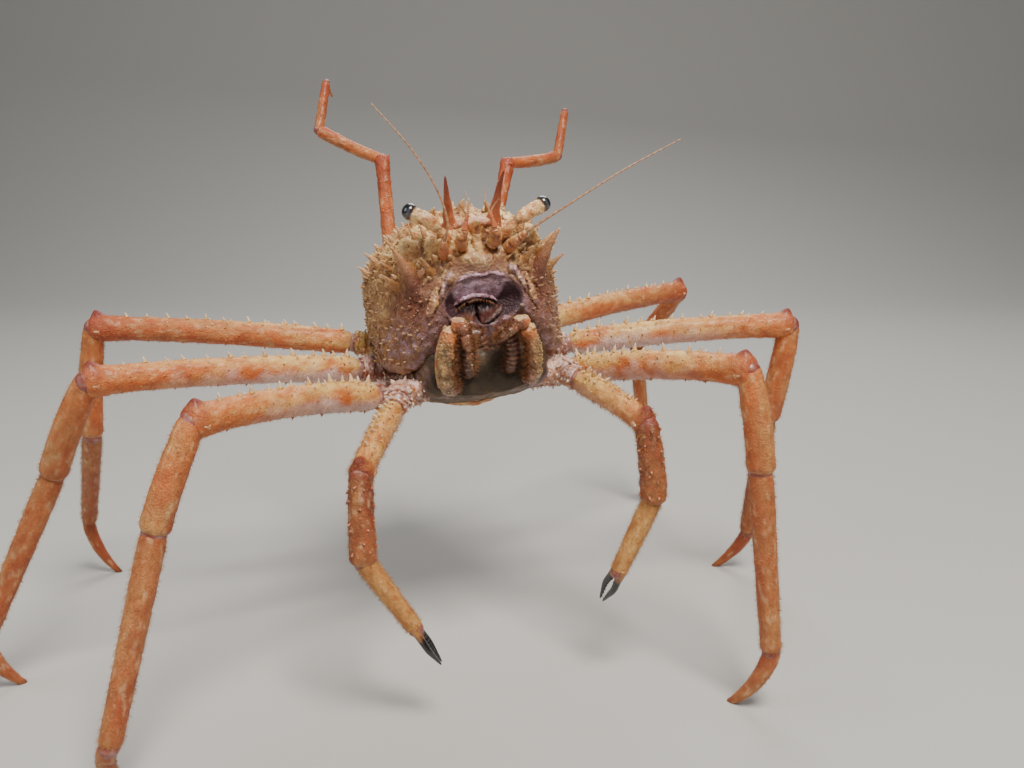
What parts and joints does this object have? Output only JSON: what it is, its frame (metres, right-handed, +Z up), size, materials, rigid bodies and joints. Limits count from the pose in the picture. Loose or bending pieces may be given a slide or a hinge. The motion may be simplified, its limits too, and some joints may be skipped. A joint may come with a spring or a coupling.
{
  "type": "japanese deepwater carrier crab",
  "caption": "Life-size still crab with a deep spiny carapace, long orange walking legs, hanging slender claws and a short rear pair of legs raised behind the back.",
  "frame": {"origin": "on the floor under the middle of the whole crab's box", "axes": "+X to the crab's left, which is also the longest way, +Y to its rear, +Z up"},
  "size_m": [0.3868, 0.3424, 0.2739],
  "materials": {
    "carapace_shell": "granular tan and orange-brown shell with cream spine tips",
    "underside_shell": "olive and mauve-brown shell of the underside and mouth limbs",
    "limb_shell": "orange shell, paler near the body, with fine down on the lower segments",
    "finger_shell": "smooth black claw tips",
    "feeler_shell": "fine ringed feelers",
    "cornea": "dark glossy eyes"
  },
  "bodies": {
    "root": {"abdomen": "underside_shell", "antenna_left": "feeler_shell", "antenna_right": "feeler_shell", "antennule_left": "feeler_shell", "antennule_right": "feeler_shell", "carapace": "carapace_shell", "cheliped_carpus_left": "limb_shell", "cheliped_carpus_right": "limb_shell", "cheliped_finger_left": "finger_shell", "cheliped_finger_right": "finger_shell", "cheliped_merus_left": "limb_shell", "cheliped_merus_right": "limb_shell", "cheliped_palm_left": "limb_shell", "cheliped_palm_right": "limb_shell", "eye_left": "cornea", "eye_right": "cornea", "eyestalk_left": "carapace_shell", "eyestalk_right": "carapace_shell", "leg_2_carpus_left": "limb_shell", "leg_2_carpus_right": "limb_shell", "leg_2_dactylus_left": "limb_shell", "leg_2_dactylus_right": "limb_shell", "leg_2_merus_left": "limb_shell", "leg_2_merus_right": "limb_shell", "leg_2_propodus_left": "limb_shell", "leg_2_propodus_right": "limb_shell", "leg_3_carpus_left": "limb_shell", "leg_3_carpus_right": "limb_shell", "leg_3_dactylus_left": "limb_shell", "leg_3_dactylus_right": "limb_shell", "leg_3_merus_left": "limb_shell", "leg_3_merus_right": "limb_shell", "leg_3_propodus_left": "limb_shell", "leg_3_propodus_right": "limb_shell", "leg_4_carpus_left": "limb_shell", "leg_4_carpus_right": "limb_shell", "leg_4_dactylus_left": "limb_shell", "leg_4_dactylus_right": "limb_shell", "leg_4_merus_left": "limb_shell", "leg_4_merus_right": "limb_shell", "leg_4_propodus_left": "limb_shell", "leg_4_propodus_right": "limb_shell", "leg_5_carpus_left": "limb_shell", "leg_5_carpus_right": "limb_shell", "leg_5_dactylus_left": "limb_shell", "leg_5_dactylus_right": "limb_shell", "leg_5_merus_left": "limb_shell", "leg_5_merus_right": "limb_shell", "leg_5_propodus_left": "limb_shell", "leg_5_propodus_right": "limb_shell", "maxilliped_left": "underside_shell", "maxilliped_right": "underside_shell", "thorax": "underside_shell"}
  },
  "joints": []
}
